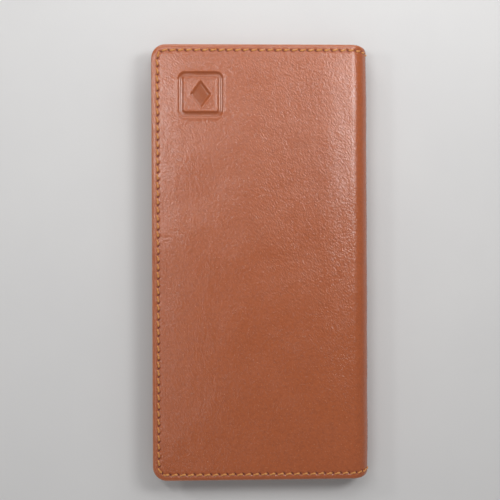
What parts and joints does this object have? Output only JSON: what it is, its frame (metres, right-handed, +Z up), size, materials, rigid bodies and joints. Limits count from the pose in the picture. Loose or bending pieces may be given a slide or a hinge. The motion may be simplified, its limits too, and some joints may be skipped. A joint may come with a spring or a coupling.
{
  "type": "long wallet",
  "caption": "Long bifold leather wallet, shut, with a rounded spine fold, stitched turned edges, card rows, bill compartments and a zipped coin pocket inside.",
  "frame": {"origin": "middle of the back cover's outer face, on the surface the shut wallet lies on", "axes": "+X towards the spine, +Y towards the head end, +Z up through the thickness to the front cover"},
  "size_m": [0.0954, 0.19, 0.016],
  "materials": {
    "outer_leather": "smooth semi-aniline leather, satin",
    "inner_leather": "smooth leather, satin",
    "lining": "plain weave lining cloth",
    "board": "bonded fibre board",
    "thread": "waxed polyester thread",
    "zip_tape": "woven zip tape",
    "zip_metal": "polished brass"
  },
  "bodies": {
    "back_half": {"back_cover": "outer_leather", "back_stiffener": "board", "back_lining": "lining", "back_bill_panel": "inner_leather", "back_edge_stitches": "thread", "coin_pocket_front": "inner_leather", "coin_pocket_bag": "lining", "coin_pocket_stitches": "thread", "zip_tape_open_side": "zip_tape", "zip_tape_spine_side": "zip_tape", "zip_teeth_open_side": "zip_metal", "zip_teeth_spine_side": "zip_metal", "zip_end_stops": "zip_metal"},
    "spine": {"spine_leather": "outer_leather", "spine_reinforcement": "board", "spine_lining": "lining", "spine_stitches": "thread"},
    "front_half": {"front_cover": "outer_leather", "front_stiffener": "board", "front_lining": "lining", "front_bill_panel": "inner_leather", "front_edge_stitches": "thread", "card_row_1": "inner_leather", "card_row_2": "inner_leather", "card_row_3": "inner_leather", "card_row_4": "inner_leather", "card_pocket_lining_1": "lining", "card_pocket_lining_2": "lining", "card_pocket_lining_3": "lining", "card_centre_stitches": "thread"},
    "zip_slider": {"zip_slider": "zip_metal"},
    "zip_pull": {"zip_pull": "zip_metal"}
  },
  "joints": [
    {"name": "spine_fold", "type": "hinge", "parent": "back_half", "child": "spine", "pos_m": [0.0455, 0, 0.0022], "axis": [0, 1, 0], "range_deg": [0, 90]},
    {"name": "cover_fold", "type": "hinge", "parent": "spine", "child": "front_half", "pos_m": [0.0455, 0, 0.0138], "axis": [0, 1, 0], "range_deg": [0, 90]},
    {"name": "zip_slide", "type": "slide", "parent": "back_half", "child": "zip_slider", "axis": [0, -1, 0], "range_m": [0, 0.132]},
    {"name": "pull_swing", "type": "hinge", "parent": "zip_slider", "child": "zip_pull", "pos_m": [0.025, 0.064, 0.00715], "axis": [-1, 0, 0], "range_deg": [0, 12]}
  ]
}
